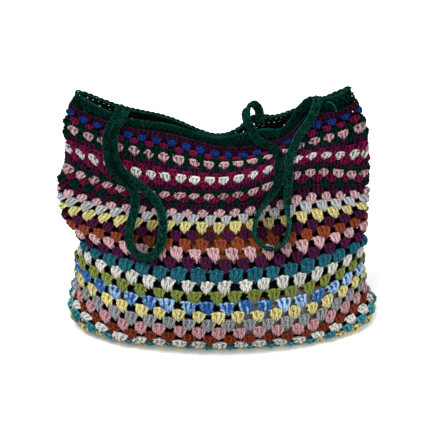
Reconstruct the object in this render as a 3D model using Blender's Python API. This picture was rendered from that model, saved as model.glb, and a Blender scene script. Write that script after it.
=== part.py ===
"""A soft crocheted tote bag, empty and slumped on a table.

The wall is granny-stripe crochet: rounds of three-stitch clusters, each one
fanned out at its top and gathered at its foot into the gap between two
clusters of the round below, so that the rounds interlock like bricks. Just
inside it hangs a cloth lining, a band of single crochet closes the top edge,
and two flat crocheted straps lie down over the front.

A place on the wall is given by two numbers. One is the position round the
bag, in clusters, from the middle of the back by way of the left end. The
other is the level, in rounds, counted down from the band under the rim.
X runs to the right, -Y to the front and Z up, and the table is at Z = 0.
"""

import math

import bpy
import numpy as np
from mathutils.geometry import delaunay_2d_cdt

for old in list(bpy.data.objects):
    bpy.data.objects.remove(old, do_unlink=True)

MM = 0.001

# Crochet, in clusters and rounds
CLUSTERS = 40
ROUNDS = 35
TIGHT_ROUNDS = 16

# Crochet, in millimetres
WALL = 5.5
CREST = 0.5
TIGHT_CREST = 1.1
TIGHT_VALLEY = -2.8
CLUSTER_FOOT = -1.5
PIT = -4.2
LAST_PIT_ROUND = 31

# Yarns, as linear red, green and blue
YARNS = {
    "dark_green": (0.004, 0.080, 0.050),
    "aubergine": (0.060, 0.010, 0.050),
    "royal_blue": (0.015, 0.060, 0.400),
    "magenta": (0.260, 0.008, 0.085),
    "pale_pink": (0.720, 0.430, 0.460),
    "cream": (0.780, 0.760, 0.690),
    "pearl_grey": (0.520, 0.560, 0.600),
    "pale_yellow": (0.850, 0.740, 0.320),
    "rust_orange": (0.420, 0.095, 0.035),
    "teal": (0.030, 0.190, 0.260),
    "olive": (0.290, 0.350, 0.080),
    "sky_blue": (0.140, 0.350, 0.780),
    "mid_grey": (0.420, 0.430, 0.440),
    "dusty_pink": (0.620, 0.320, 0.350),
    "rust_brown": (0.260, 0.055, 0.025),
    "turquoise": (0.040, 0.300, 0.370),
    "lilac": (0.330, 0.260, 0.500),
}

# The yarn of each round, from the band down
ROUND_YARNS = (
    "aubergine", "royal_blue", "magenta", "dark_green", "pale_pink",
    "dark_green", "aubergine", "magenta", "cream", "magenta",
    "aubergine", "dark_green", "pale_pink", "magenta", "dark_green",
    "aubergine", "pale_pink", "pearl_grey", "pale_yellow", "aubergine",
    "rust_orange", "pale_pink", "aubergine", "teal", "cream",
    "olive", "sky_blue", "pale_yellow", "mid_grey", "dusty_pink",
    "rust_brown", "cream", "turquoise", "pale_yellow", "lilac",
)

# Outline of one open cluster, as parts of a cluster's pitch and of a round
CLUSTER_TOP_HALF = 0.31
CLUSTER_FOOT_HALF = 0.13
CLUSTER_TOP_RISE = 0.14
CLUSTER_FOOT_DROP = 0.12

# Gaps that go right through the wall: rounds, and clusters round the front
THROUGH_ROUNDS = (20, 28)
THROUGH_POSITIONS = (14.2, 25.3)

# Levels of the band's top edge, of the join under it and of the underside
RIM_TOP = -2.0
JOIN = 0.5
UNDERSIDE = ROUNDS + 0.5

# The bag inside: half the widest section, half the deepest, and the corners'
# height, in mm
HALF_WIDTH = 200.0
HALF_DEPTH = 100.0
CORNER_HEIGHT = 315.0

# Inner sections down the wall: level, reach to the left and to the right as
# parts of HALF_WIDTH, height at the middle, at the left end and at the right
# end as parts of CORNER_HEIGHT, half depth as a part of HALF_DEPTH, how full
# the left and the right end are (1 is pointed like a lens, 2 is an ellipse),
# and the positions of the two ends. The levels of the lower part are counted
# up from the underside
REST = WALL / CORNER_HEIGHT
SECTIONS = (
    (RIM_TOP, 0.805, 0.785, 0.803, 0.997, 1.000, 0.085, 2.5, 1.3, 10.0, 30.0),
    (5.0, 0.885, 0.890, 0.713, 0.851, 0.848, 0.240, 1.5, 1.2, 9.9, 29.9),
    (11.0, 0.890, 0.920, 0.644, 0.721, 0.679, 0.400, 1.3, 1.3, 9.1, 31.0),
    (UNDERSIDE - 18.5, 0.958, 0.930, 0.546, 0.575, 0.565, 0.420, 1.2, 1.2, 9.7, 30.5),
    (UNDERSIDE - 15.5, 0.935, 0.940, 0.454, 0.460, 0.476, 0.500, 1.2, 1.2, 11.0, 29.6),
    (UNDERSIDE - 11.5, 0.833, 0.935, 0.327, 0.333, 0.346, 0.770, 1.4, 1.3, 11.5, 29.1),
    (UNDERSIDE - 9.5, 0.870, 0.932, 0.250, 0.271, 0.274, 0.890, 1.6, 1.4, 11.1, 29.2),
    (UNDERSIDE - 7.5, 0.875, 0.945, 0.183, 0.213, 0.206, 0.990, 1.9, 1.5, 10.7, 29.3),
    (UNDERSIDE - 4.5, 0.880, 0.970, 0.084, 0.120, 0.102, 1.020, 2.6, 1.8, 10.5, 29.4),
    (UNDERSIDE - 2.5, 0.920, 1.020, 0.035, 0.089, 0.057, 0.910, 3.6, 2.4, 10.5, 29.4),
    (UNDERSIDE - 1.7, 0.915, 1.015, 0.020, 0.057, 0.038, 0.840, 3.8, 2.8, 10.5, 29.4),
    (UNDERSIDE, 0.875, 0.970, REST, REST, REST, 0.680, 3.4, 2.6, 10.5, 29.4),
)
END_RISE_POWER = 1.4

# Slack folds: place from the left end (-1) to the right end (1), level,
# half width, half height in rounds, lift in mm, and whether it is in the
# front alone (-1), in the back alone (1) or in both (0)
FOLDS = (
    (-0.60, 12.5, 0.30, 4.5, -6, 0),
    (0.60, 12.0, 0.30, 5.5, 24, 0),
    (0.25, 2.0, 0.22, 3.0, -9, 0),
    (0.62, -1.0, 0.12, 4.0, 10, -1),
    (-0.35, -1.0, 0.25, 5.0, 8, 0),
    (0.62, 29.0, 0.25, 4.0, -10, 0),
    (-0.65, 31.0, 0.22, 4.0, -8, 0),
    (0.54, -2.0, 0.12, 4.0, -16, -1),
    (0.70, -2.0, 0.12, 3.5, 12, -1),
    (0.31, -2.0, 0.11, 4.0, 13, 1),
)

# Where the wall's smooth inner face has its own points
INNER_COLUMNS = 20
INNER_LEVELS = (
    JOIN, 5, 9, 13, UNDERSIDE - 19.0, UNDERSIDE - 15.9, UNDERSIDE - 13.5,
    UNDERSIDE - 11.5, UNDERSIDE - 9.5, UNDERSIDE - 6.9, UNDERSIDE - 4.5,
    UNDERSIDE - 2.0, UNDERSIDE,
)

# The mouth closes at its middle
PINCH = 0.9
PINCH_HALF_WIDTH = 0.38
PINCH_ROUNDS = 4.0

# Parts fitted to one another, in millimetres
CLEARANCE = 0.3

# Lining: the level of its hem and of its own points
LINING_TOP = 2.5
LINING_LEVELS = (LINING_TOP, 5, 9, *INNER_LEVELS[4:])

# Lining, in millimetres
LINING_INSET = 4.8
LINING_END_INSET = 12.0
LINING_CLOTH = 1.2
LINING_COLOUR = (0.006, 0.005, 0.006)

# Rim band: rows of single crochet, in millimetres
RIM_WALL = 5.5
RIM_ROWS = 3
RIM_GROOVE = 1.2

# Straps, in millimetres
STRAP_WIDTH = 11.0
STRAP_THICK = 5.6
STRAP_EDGE = 1.5
STITCH = 8.0
STITCH_WAIST = 0.9

# Loose end of yarn, in millimetres
TAIL_RADIUS = 1.0
TAIL_STEP = 2.5


def smooth(x, xs, ys):
    """A curve through the given points that never overshoots them."""
    xs = np.asarray(xs, float)
    ys = np.asarray(ys, float)
    steps = np.diff(xs)
    slopes = np.diff(ys) / steps
    tangents = np.zeros(len(xs))
    tangents[0] = slopes[0]
    tangents[-1] = slopes[-1]
    for i in range(1, len(xs) - 1):
        before, after = slopes[i - 1], slopes[i]
        if before * after > 0:
            a = 2 * steps[i] + steps[i - 1]
            b = steps[i] + 2 * steps[i - 1]
            tangents[i] = (a + b) / (a / before + b / after)
    x = np.clip(np.asarray(x, float), xs[0], xs[-1])
    i = np.clip(np.searchsorted(xs, x, side="right") - 1, 0, len(xs) - 2)
    h = steps[i]
    w = (x - xs[i]) / h
    return (
        (1 + 2 * w) * (1 - w) ** 2 * ys[i]
        + w * (1 - w) ** 2 * h * tangents[i]
        + w * w * (3 - 2 * w) * ys[i + 1]
        + w * w * (w - 1) * h * tangents[i + 1]
    )


LEVELS = [row[0] for row in SECTIONS]


SECTION_UNITS = (
    HALF_WIDTH, HALF_WIDTH, CORNER_HEIGHT, CORNER_HEIGHT, CORNER_HEIGHT,
    HALF_DEPTH, 1, 1, 1, 1,
)


def section(level):
    """The inner section's own sizes at a level, in SECTIONS' order, in mm."""
    return [
        scale * float(smooth(level, LEVELS, [row[i] for row in SECTIONS]))
        for i, scale in enumerate(SECTION_UNITS, 1)
    ]


def surface(positions, level):
    """Points of the wall's inner face at one level, in mm."""
    left, right, mid, low_left, low_right, depth, *full, start, end = section(level)
    angle = np.linspace(0, math.pi, 181)
    s = -np.cos(angle)
    x = s * np.where(s < 0, left, right)
    lens = np.sin(angle) ** (2 / np.where(s < 0, *full))
    pinch = PINCH * np.exp(
        -((s / PINCH_HALF_WIDTH) ** 2) - ((level - RIM_TOP) / PINCH_ROUNDS) ** 2
    )
    y = depth * lens * (1 - pinch)
    length = np.concatenate([[0], np.cumsum(np.hypot(np.diff(x), np.diff(y)))])
    past = np.mod(np.asarray(positions, float) - start, CLUSTERS)
    across = end - start
    front = past <= across
    along = np.where(front, past / across, (CLUSTERS - past) / (CLUSTERS - across))
    at = np.interp(along * length[-1], length, angle)
    s_at = -np.cos(at)
    x_at = np.interp(at, angle, x)
    y_at = np.interp(at, angle, y) * np.where(front, -1, 1)
    rise = np.where(s_at < 0, low_left - mid, low_right - mid)
    z_at = mid + rise * np.abs(s_at) ** END_RISE_POWER
    settle = np.clip((UNDERSIDE - level) / 2.5, 0, 1)
    back = np.where(front, -1, 1) * np.minimum(3 * np.sin(at), 1)
    for place, fold_level, half, rounds, lift, side in FOLDS:
        share = (1 + side * back) / 2 if side else 1
        z_at = z_at + settle * share * lift * np.exp(
            -(((s_at - place) / half) ** 2) - ((level - fold_level) / rounds) ** 2
        )
    return np.stack([x_at, y_at, z_at], axis=-1)


def outward(positions, level):
    """Unit normals of the inner face, pointing out of the bag."""
    positions = np.asarray(positions, float)
    along = surface(positions + 0.15, level) - surface(positions - 0.15, level)
    above = max(level - 0.2, RIM_TOP)
    below = min(level + 0.2, UNDERSIDE)
    down = surface(positions, below) - surface(positions, above)
    normal = np.cross(down, along)
    return normal / np.linalg.norm(normal, axis=-1, keepdims=True)


def place(positions, level, lift):
    """Points a stated height above the wall's inner face, in mm."""
    return surface(positions, level) + outward(positions, level) * lift


def plain_material(name, colour):
    material = bpy.data.materials.new(name)
    material.use_nodes = True
    shader = material.node_tree.nodes["Principled BSDF"]
    shader.inputs["Base Color"].default_value = (*colour, 1)
    shader.inputs["Roughness"].default_value = 0.95
    return material


class Body:
    """Gathers the points and triangles of one closed body."""

    def __init__(self):
        self.points = []
        self.faces = []
        self.yarn_of = {}

    def ring(self, points, rounds=None):
        """Adds points and returns their numbers."""
        first = len(self.points)
        self.points.extend(tuple(map(float, p)) for p in points)
        ring = list(range(first, len(self.points)))
        if rounds is not None:
            self.yarn_of.update(zip(ring, rounds))
        return ring

    def yarn(self, face):
        """The round whose yarn a triangle shows: the one most corners are of."""
        rounds = [self.yarn_of[i] for i in face if self.yarn_of.get(i)]
        if not rounds:
            return ROUNDS
        return max(rounds, key=rounds.count)

    def strip(self, upper, upper_keys, lower, lower_keys, gaps=None, flip=False):
        """Joins two rings with triangles, leaving out the gaps named."""
        n, m = len(upper), len(lower)
        i = j = 0
        while i < n or j < m:
            next_upper = upper_keys[(i + 1) % n] + (CLUSTERS if i + 1 >= n else 0)
            next_lower = lower_keys[(j + 1) % m] + (CLUSTERS if j + 1 >= m else 0)
            if j >= m or (i < n and next_upper <= next_lower):
                face = (upper[i % n], lower[j % m], upper[(i + 1) % n])
                i += 1
            else:
                face = (upper[i % n], lower[j % m], lower[(j + 1) % m])
                j += 1
            if gaps is None or not gaps.takes(face):
                self.faces.append(face[::-1] if flip else face)

    def fan(self, ring, centre, flip=False):
        """Closes a ring with triangles round one point."""
        (hub,) = self.ring([centre])
        for a, b in zip(ring, ring[1:] + ring[:1]):
            self.faces.append((a, hub, b) if flip else (a, b, hub))

    def build(self, name, colours):
        mesh = bpy.data.meshes.new(name)
        points = [(x * MM, y * MM, z * MM) for x, y, z in self.points]
        mesh.from_pydata(points, [], self.faces)
        for colour in colours:
            mesh.materials.append(plain_material(name, colour))
        if len(colours) > 1:
            for polygon, face in zip(mesh.polygons, self.faces):
                polygon.material_index = self.yarn(face) - 1
        mesh.update()
        obj = bpy.data.objects.new(name, mesh)
        bpy.context.scene.collection.objects.link(obj)
        return obj


class Gaps:
    """The gaps between open clusters: four corners each, in a ring."""

    def __init__(self):
        self.corners = []
        self.owner = {}

    def add(self, corners, position, round_number):
        self.corners.append((corners, position, round_number))
        for corner in corners:
            self.owner.setdefault(corner, set()).add(len(self.corners) - 1)

    def takes(self, face):
        found = [self.owner.get(corner, set()) for corner in face]
        return bool(set.intersection(*found))


def cluster_positions(round_number):
    """Middles of a round's clusters: every second round is set over by half."""
    return np.arange(CLUSTERS) + (0.5 if round_number % 2 else 0.0)


def tight_ring(body, round_number):
    """One round of close clusters: a crest at each, a valley between."""
    keys = np.arange(2 * CLUSTERS) / 2
    crest = np.arange(2 * CLUSTERS) % 2 == round_number % 2
    lift = WALL + np.where(crest, TIGHT_CREST, TIGHT_VALLEY)
    points = surface(keys, round_number) + outward(keys, round_number) * lift[:, None]
    ring = body.ring(points, np.where(crest, round_number, 0).tolist())
    return ring, keys - np.where(crest, 0, 0.01)


def open_ring(body, round_number):
    """The ring between a round and the next: the feet of the one and the tops
    of the other's clusters. Returns the ring, its keys and those two sets."""
    feet = cluster_positions(round_number)
    tops = cluster_positions(round_number + 1)
    level = round_number + 0.5
    entries = []
    for centres, half, shift, lift, name, owner in (
        (feet, CLUSTER_FOOT_HALF, CLUSTER_FOOT_DROP, CLUSTER_FOOT, "foot", 0),
        (tops, CLUSTER_TOP_HALF, -CLUSTER_TOP_RISE, CREST, "top", 1),
    ):
        at_level = min(level + shift, UNDERSIDE)
        for side in (-1, 1):
            points = place(centres + side * half, at_level, WALL + lift)
            for centre, point in zip(centres, points):
                key = (centre + side * (0.12 if name == "foot" else 0.22)) % CLUSTERS
                centre = round(centre % CLUSTERS, 2)
                entries.append((key, name, side, centre, point, round_number + owner))
    entries.sort(key=lambda entry: entry[0])
    ring = body.ring(
        [entry[4] for entry in entries], [entry[5] for entry in entries]
    )
    corner = {
        (entry[1], entry[2], entry[3]): number
        for entry, number in zip(entries, ring)
    }
    return ring, [entry[0] for entry in entries], corner


def through(position, round_number):
    low, high = THROUGH_ROUNDS
    start, end = THROUGH_POSITIONS
    return low <= round_number <= high and start <= position <= end


def crochet_body():
    """The bag's wall and base: close rounds, open rounds, gaps, inner face."""
    body = Body()
    gaps = Gaps()
    keys = np.arange(2 * CLUSTERS) / 2
    top = body.ring(place(keys, JOIN, WALL))
    ring, ring_keys = top, keys
    for number in range(1, TIGHT_ROUNDS + 1):
        lower, lower_keys = tight_ring(body, number)
        body.strip(ring, ring_keys, lower, lower_keys)
        ring, ring_keys = lower, lower_keys
    corners = {}
    rings = {}
    for number in range(TIGHT_ROUNDS, ROUNDS):
        lower, lower_keys, corner = open_ring(body, number)
        corners[number] = corner
        rings[number] = (lower, lower_keys)
    for number in range(TIGHT_ROUNDS + 1, ROUNDS):
        for centre in cluster_positions(number + 1):
            centre = round(centre % CLUSTERS, 2)
            gaps.add(
                (
                    corners[number - 1][("foot", -1, centre)],
                    corners[number][("top", -1, centre)],
                    corners[number][("top", 1, centre)],
                    corners[number - 1][("foot", 1, centre)],
                ),
                centre,
                number,
            )
    for number in range(TIGHT_ROUNDS, ROUNDS):
        lower, lower_keys = rings[number]
        body.strip(ring, ring_keys, lower, lower_keys, gaps)
        ring, ring_keys = lower, lower_keys
    flat = body.ring(surface(keys, UNDERSIDE) * (1, 1, 0))
    body.strip(ring, ring_keys, flat, keys)
    body.fan(flat, (0, 0, 0), flip=True)

    holes = []
    for loop, position, number in gaps.corners:
        points = np.array([body.points[i] for i in loop])
        if through(position, number):
            holes.append((loop, position, number))
        elif number > LAST_PIT_ROUND:
            body.faces.append(loop[:3])
            body.faces.append((loop[0], loop[2], loop[3]))
        else:
            deep = place([position], number + 0.02, WALL + PIT)
            (hub,) = body.ring(deep, [number])
            for a, b in zip(loop, loop[1:] + loop[:1]):
                body.faces.append((a, b, hub))
    inner_face(body, top, keys, holes)
    return body.build("bag_body", [YARNS[name] for name in ROUND_YARNS])


def inner_keys(level):
    """Positions of the inner face's columns: one is at each end of the bag."""
    start, end = section(level)[-2:]
    quarter = INNER_COLUMNS // 4
    return np.concatenate(
        [
            np.arange(quarter) * start / quarter,
            start + np.arange(2 * quarter) * (end - start) / (2 * quarter),
            end + np.arange(quarter) * (CLUSTERS - end) / quarter,
        ]
    )


def inner_face(body, top, top_keys, holes):
    """The wall's smooth inner face, with the gaps let through it."""
    stretch = (20.0, 10.0)
    flat, places = [], []

    def add(position, level):
        flat.append((position * stretch[0], -level * stretch[1]))
        places.append((position, level))
        return len(flat) - 1

    hole_corners = []
    for loop, position, number in holes:
        offsets = (
            (-CLUSTER_FOOT_HALF, -0.5 + CLUSTER_FOOT_DROP),
            (-CLUSTER_TOP_HALF, 0.5 - CLUSTER_TOP_RISE),
            (CLUSTER_TOP_HALF, 0.5 - CLUSTER_TOP_RISE),
            (CLUSTER_FOOT_HALF, -0.5 + CLUSTER_FOOT_DROP),
        )
        hole_corners.append(
            [add(position + dx, number + dl) for dx, dl in offsets]
        )
    grid = {}
    for level in INNER_LEVELS:
        for i, key in enumerate([*inner_keys(level), CLUSTERS]):
            near = any(
                abs(key - position) < 0.5 and abs(level - number) < 0.62
                for _, position, number in holes
            )
            if not near:
                grid[(i, level)] = add(key, level)
    edges = [
        (corner[i], corner[(i + 1) % 4]) for corner in hole_corners for i in range(4)
    ]
    vertices, _, triangles, source, _, _ = delaunay_2d_cdt(
        flat, edges, [], 0, 1e-6, True
    )
    numbers = {}

    def number_of(vertex):
        origin = source[vertex][0]
        position, level = places[origin]
        key = (round(position % CLUSTERS, 4), level)
        if key not in numbers:
            (numbers[key],) = body.ring(surface([position], level))
        return numbers[key]

    def in_hole(middle):
        position, level = middle[0] / stretch[0], -middle[1] / stretch[1]
        for _, centre, number in holes:
            down = (level - (number - 0.5 + CLUSTER_FOOT_DROP)) / (
                1 - CLUSTER_FOOT_DROP - CLUSTER_TOP_RISE
            )
            half = CLUSTER_FOOT_HALF + (CLUSTER_TOP_HALF - CLUSTER_FOOT_HALF) * down
            if 0 < down < 1 and abs(position - centre) < half:
                return True
        return False

    for triangle in triangles:
        middle = sum((np.array(vertices[i]) for i in triangle), np.zeros(2)) / 3
        if in_hole(middle):
            continue
        a, b, c = (number_of(i) for i in triangle)
        pa, pb, pc = (np.array(vertices[i]) for i in triangle)
        turn = (pb - pa)[0] * (pc - pa)[1] - (pb - pa)[1] * (pc - pa)[0]
        body.faces.append((a, c, b) if turn > 0 else (a, b, c))
    for (loop, _, _), corner in zip(holes, hole_corners):
        inner = [
            numbers[(round(places[i][0] % CLUSTERS, 4), places[i][1])] for i in corner
        ]
        for i in range(4):
            j = (i + 1) % 4
            body.faces.append((loop[i], loop[j], inner[j]))
            body.faces.append((loop[i], inner[j], inner[i]))
    first, last = (
        [numbers[(round(key % CLUSTERS, 4), level)] for key in inner_keys(level)]
        for level in (JOIN, UNDERSIDE)
    )
    body.strip(first, inner_keys(JOIN), top, top_keys)
    body.fan(last, (0, 0, WALL))


def rim_band():
    """Three rows of single crochet round the mouth, with an edge on top."""
    body = Body()
    keys = np.arange(2 * CLUSTERS) / 2
    lift = np.array([0, 0, CLEARANCE])
    bottom = body.ring(place(keys, JOIN, WALL) + lift)
    ring = bottom
    steps = 2 * RIM_ROWS
    for step in range(1, steps + 1):
        level = JOIN + (RIM_TOP - JOIN) * step / steps
        groove = 0 if step % 2 else RIM_GROOVE
        lower = body.ring(place(keys, level, RIM_WALL - groove))
        body.strip(lower, keys, ring, keys)
        ring = lower
    inside = inner_keys(JOIN)
    inner_bottom = body.ring(surface(inside, JOIN) + lift)
    inner_top = body.ring(surface(inside, RIM_TOP))
    body.strip(inner_bottom, inside, inner_top, inside)
    body.strip(inner_top, inside, ring, keys)
    body.strip(inner_bottom, inside, bottom, keys, flip=True)
    return body.build("rim_band", [YARNS["dark_green"]])


def lining():
    """A cloth pouch hung just inside the crochet, open at its top."""
    body = Body()
    columns = np.arange(INNER_COLUMNS)
    ends = columns % (INNER_COLUMNS // 2) == INNER_COLUMNS // 4

    def skin(depth):
        sunk = np.where(ends, LINING_END_INSET + 4 * depth, LINING_INSET + depth)
        return [
            body.ring(place(inner_keys(level), level, -sunk[:, None]))
            for level in LINING_LEVELS
        ]

    outer = skin(0.0)
    inner = skin(LINING_CLOTH)
    for upper, lower in zip(outer, outer[1:]):
        body.strip(upper, columns, lower, columns)
    for upper, lower in zip(inner, inner[1:]):
        body.strip(upper, columns, lower, columns, flip=True)
    body.strip(inner[0], columns, outer[0], columns)
    floor = WALL + LINING_INSET
    body.fan(outer[-1], (0, 0, floor), flip=True)
    body.fan(inner[-1], (0, 0, floor + LINING_CLOTH))
    return body.build("lining", [LINING_COLOUR])


# A strap's route: position round the bag, level, height over the wall's inner
# face and rise in mm, then the way its flat side faces, which is either a
# quarter turn on edge in degrees from flat on the wall, or a direction
UP = (0, -0.25, 1)
SKEW = (-0.2, -1, 0.4)
LEFT_ROUTE = (
    (6.7, -2.0, 4, 4.0, UP),
    (7.0, -2.0, 0, 4.5, UP),
    (13.05, -2.0, 1, 4.4, UP),
    (12.8, -2.0, 6.5, 3.6, (0, -1, 1)),
    (12.65, -1.0, 9.9, 0, 0),
    (12.56, 1.2, 9.9, 0, 0),
    (12.6, 4.0, 9.9, 0, 0),
    (12.52, 7.1, 9.9, 0, 0),
    (12.57, 9.1, 9.9, 0, 0),
    (13.0, 10.4, 9.9, 0, 0),
    (13.75, 11.2, 9.9, 0, 0),
    (14.45, 12.5, 9.9, 0, 0),
    (14.95, 15.1, 9.9, 0, 0),
    (15.13, 17.5, 9.9, 0, 0),
    (15.37, 19.4, 9.9, 0, 0),
    (15.4, 20.8, 9.9, 0, 0),
    (15.5, 21.8, 9.9, 0, 0),
    (15.8, 22.5, 9.9, 0, 0),
    (16.27, 22.7, 9.9, 0, 0),
    (16.7, 22.35, 9.9, 0, 0),
    (17.05, 21.55, 9.9, 0, 0),
    (17.3, 20.4, 9.9, 0, 0),
    (17.25, 18.9, 9.9, 0, 0),
    (16.9, 17.1, 9.9, 0, 0),
    (16.4, 14.8, 10.5, 0, 0),
    (15.75, 12.1, 14, 0, 0),
    (15.1, 10.3, 16.6, 0, 0),
    (14.4, 9.4, 16.6, 0, 0),
    (13.75, 8.6, 16.6, 0, 0),
    (13.35, 7.3, 15, 0, 0),
    (13.3, 5.3, 11.5, 0, 0),
    (13.3, 3.0, 9.9, 0, 0),
    (13.4, 0.6, 9.9, 0, 0),
    (13.6, -1.3, 9.9, 0, 0),
)
RIGHT_ROUTE = (
    (36.35, -2.0, 2.7, 2.4, SKEW),
    (36.45, -2.0, 2.0, 8, SKEW),
    (36.8, -2.0, -1.0, 16.5, SKEW),
    (37.35, -2.0, -4.0, 22, SKEW),
    (22.5, -2.0, -4.0, 24, SKEW),
    (22.5, -2.0, -1.0, 14, SKEW),
    (22.56, -2.0, 2.5, 5, SKEW),
    (22.82, -2.0, 8.2, 3.2, (-0.2, -1, 0.5)),
    (23.2, -0.9, 9.9, 0, (-0.2, -1, 0.3)),
    (23.7, 0.6, 9.9, 0, 0),
    (24.12, 3.4, 9.9, 0, 0),
    (24.25, 6.6, 9.9, 0, 0),
    (24.29, 9.6, 9.9, 0, 0),
    (24.25, 11.6, 11.0, 0, 30),
    (23.98, 13.4, 12.5, 0, 60),
    (23.47, 15.2, 13.4, 0, 85),
    (22.9, 17.1, 13.4, 0, 90),
    (22.6, 18.8, 13.4, 0, 90),
    (22.52, 20.1, 13.4, 0, 90),
    (22.72, 21.2, 13.4, 0, 90),
    (23.2, 21.8, 13.4, 0, 90),
    (23.75, 21.5, 13.4, 0, 90),
    (24.2, 20.6, 13.4, 0, 90),
    (24.55, 19.2, 13.4, 0, 90),
    (24.7, 17.9, 12.5, 0, 65),
    (24.8, 16.1, 11.0, 0, 30),
    (24.87, 13.9, 9.9, 0, 0),
    (24.93, 11.0, 9.9, 0, 0),
    (25.0, 8.2, 10.6, 0, 0),
    (25.2, 4.6, 9.9, 0, 0),
    (25.75, 2.2, 9.9, 0, 0),
    (26.55, 1.0, 9.9, 0, 0),
    (27.2, -0.4, 9.9, 0, 0),
    (27.5, -1.5, 9.9, 0.6, (0, -1, 0.6)),
    (27.75, -2.0, 4.0, 4.4, (0, -0.4, 1)),
)

TAIL_ROUTE = (
    (28.3, -1.75, 6.75, 0, 0),
    (28.59, -1.5, 6.75, 0, 0),
    (28.7, -0.75, 6.75, 0, 0),
    (28.64, 0.25, 6.75, 0, 0),
)


def unit(v):
    return v / np.linalg.norm(v, axis=-1, keepdims=True)


def through_points(knots, spacing):
    """A smooth curve through the knots, as places and knot parameters."""
    steps = np.concatenate(
        [[0], np.cumsum(np.linalg.norm(np.diff(knots, axis=0), axis=1) ** 0.5)]
    )
    fine = np.linspace(0, steps[-1], 2000)
    curve = np.stack([curve_through(fine, steps, knots[:, i]) for i in range(3)], -1)
    length = np.concatenate(
        [[0], np.cumsum(np.linalg.norm(np.diff(curve, axis=0), axis=1))]
    )
    count = int(round(length[-1] / spacing))
    at = np.interp(np.linspace(0, length[-1], count + 1), length, fine)
    places = np.stack([np.interp(at, fine, curve[:, i]) for i in range(3)], -1)
    return places, at, steps


def curve_through(x, xs, ys):
    """A cubic curve whose slope at each point is its neighbours' slope."""
    tangents = np.gradient(ys, xs)
    i = np.clip(np.searchsorted(xs, x, side="right") - 1, 0, len(xs) - 2)
    h = xs[i + 1] - xs[i]
    w = (x - xs[i]) / h
    return (
        (1 + 2 * w) * (1 - w) ** 2 * ys[i]
        + w * (1 - w) ** 2 * h * tangents[i]
        + w * w * (3 - 2 * w) * ys[i + 1]
        + w * w * (w - 1) * h * tangents[i + 1]
    )


def sweep(name, route, spacing, outline):
    """A closed body swept along a route, with the outline at each station."""
    knots = np.array(
        [
            place([position], level, lift)[0] + (0, 0, rise)
            for position, level, lift, rise, _ in route
        ]
    )
    facings = []
    for tangent, (position, level, _, _, facing) in zip(
        unit(np.gradient(knots, axis=0)), route
    ):
        if isinstance(facing, tuple):
            facings.append(unit(np.array(facing, float)))
        else:
            wall = outward([position], level)[0]
            side = unit(np.cross(tangent, wall))
            turn = math.radians(facing)
            facings.append(wall * math.cos(turn) + side * math.sin(turn))
    facings = np.array(facings)
    places, at, steps = through_points(knots, spacing)
    facing = np.stack([np.interp(at, steps, facings[:, i]) for i in range(3)], -1)
    tangent = unit(np.gradient(places, axis=0))
    normal = unit(facing - tangent * np.sum(facing * tangent, -1, keepdims=True))
    across = np.cross(tangent, normal)
    body = Body()
    rings = [
        body.ring([centre + b * u + n * v for u, v in outline(i)])
        for i, (centre, n, b) in enumerate(zip(places, normal, across))
    ]
    for one, two in zip(rings, rings[1:]):
        for i in range(6):
            j = (i + 1) % 6
            body.faces.append((one[i], two[j], one[j]))
            body.faces.append((one[i], two[i], two[j]))
    for i in range(1, 5):
        body.faces.append((rings[0][0], rings[0][i], rings[0][i + 1]))
        body.faces.append((rings[-1][0], rings[-1][i + 1], rings[-1][i]))
    return body.build(name, [YARNS["dark_green"]])


def strap_outline(station):
    """A flat six-sided outline, drawn in a little between two stitches."""
    waist = STITCH_WAIST if station % 2 else 1.0
    wide = STRAP_WIDTH / 2 * waist
    thick = STRAP_THICK / 2 * waist
    flat = wide - STRAP_EDGE
    return (
        (wide, 0), (flat, thick), (-flat, thick),
        (-wide, 0), (-flat, -thick), (flat, -thick),
    )


def tail_outline(station):
    """A round yarn, six-sided."""
    turns = [math.pi / 3 * i for i in range(6)]
    return [(TAIL_RADIUS * math.cos(t), TAIL_RADIUS * math.sin(t)) for t in turns]


crochet_body()
rim_band()
lining()
sweep("strap_left", LEFT_ROUTE, STITCH, strap_outline)
sweep("strap_right", RIGHT_ROUTE, STITCH, strap_outline)
sweep("yarn_tail", TAIL_ROUTE, TAIL_STEP, tail_outline)
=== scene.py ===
"""The look of a soft crocheted tote bag, built in the place of its plain solids.

A place on the wall is given by its position round the bag, in clusters from
the middle of the back by way of the left end, its level, in rounds counted
down from the band under the rim, and its lift above the inner face, in mm.
"""

from math import cos, pi, radians, sin

import bpy
import numpy as np
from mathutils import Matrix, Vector


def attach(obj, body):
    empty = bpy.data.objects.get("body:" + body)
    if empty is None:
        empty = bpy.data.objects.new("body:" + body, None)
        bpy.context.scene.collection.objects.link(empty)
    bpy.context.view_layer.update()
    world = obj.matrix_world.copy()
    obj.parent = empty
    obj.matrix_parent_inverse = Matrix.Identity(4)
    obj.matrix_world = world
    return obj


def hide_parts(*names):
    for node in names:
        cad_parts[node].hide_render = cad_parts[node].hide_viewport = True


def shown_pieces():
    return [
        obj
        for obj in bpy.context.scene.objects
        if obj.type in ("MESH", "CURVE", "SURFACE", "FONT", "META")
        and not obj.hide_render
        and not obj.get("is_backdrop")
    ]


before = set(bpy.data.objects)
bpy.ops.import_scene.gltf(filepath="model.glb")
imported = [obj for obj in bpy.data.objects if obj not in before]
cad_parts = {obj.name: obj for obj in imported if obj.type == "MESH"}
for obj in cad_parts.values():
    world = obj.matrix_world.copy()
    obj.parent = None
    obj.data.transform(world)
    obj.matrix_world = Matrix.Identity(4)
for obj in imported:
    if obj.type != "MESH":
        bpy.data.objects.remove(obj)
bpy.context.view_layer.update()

MM = 0.001
SEED = 7
RNG = np.random.default_rng(SEED)


def vary(spread, *shape):
    """Random numbers about zero."""
    return RNG.normal(0, spread, shape)



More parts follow.
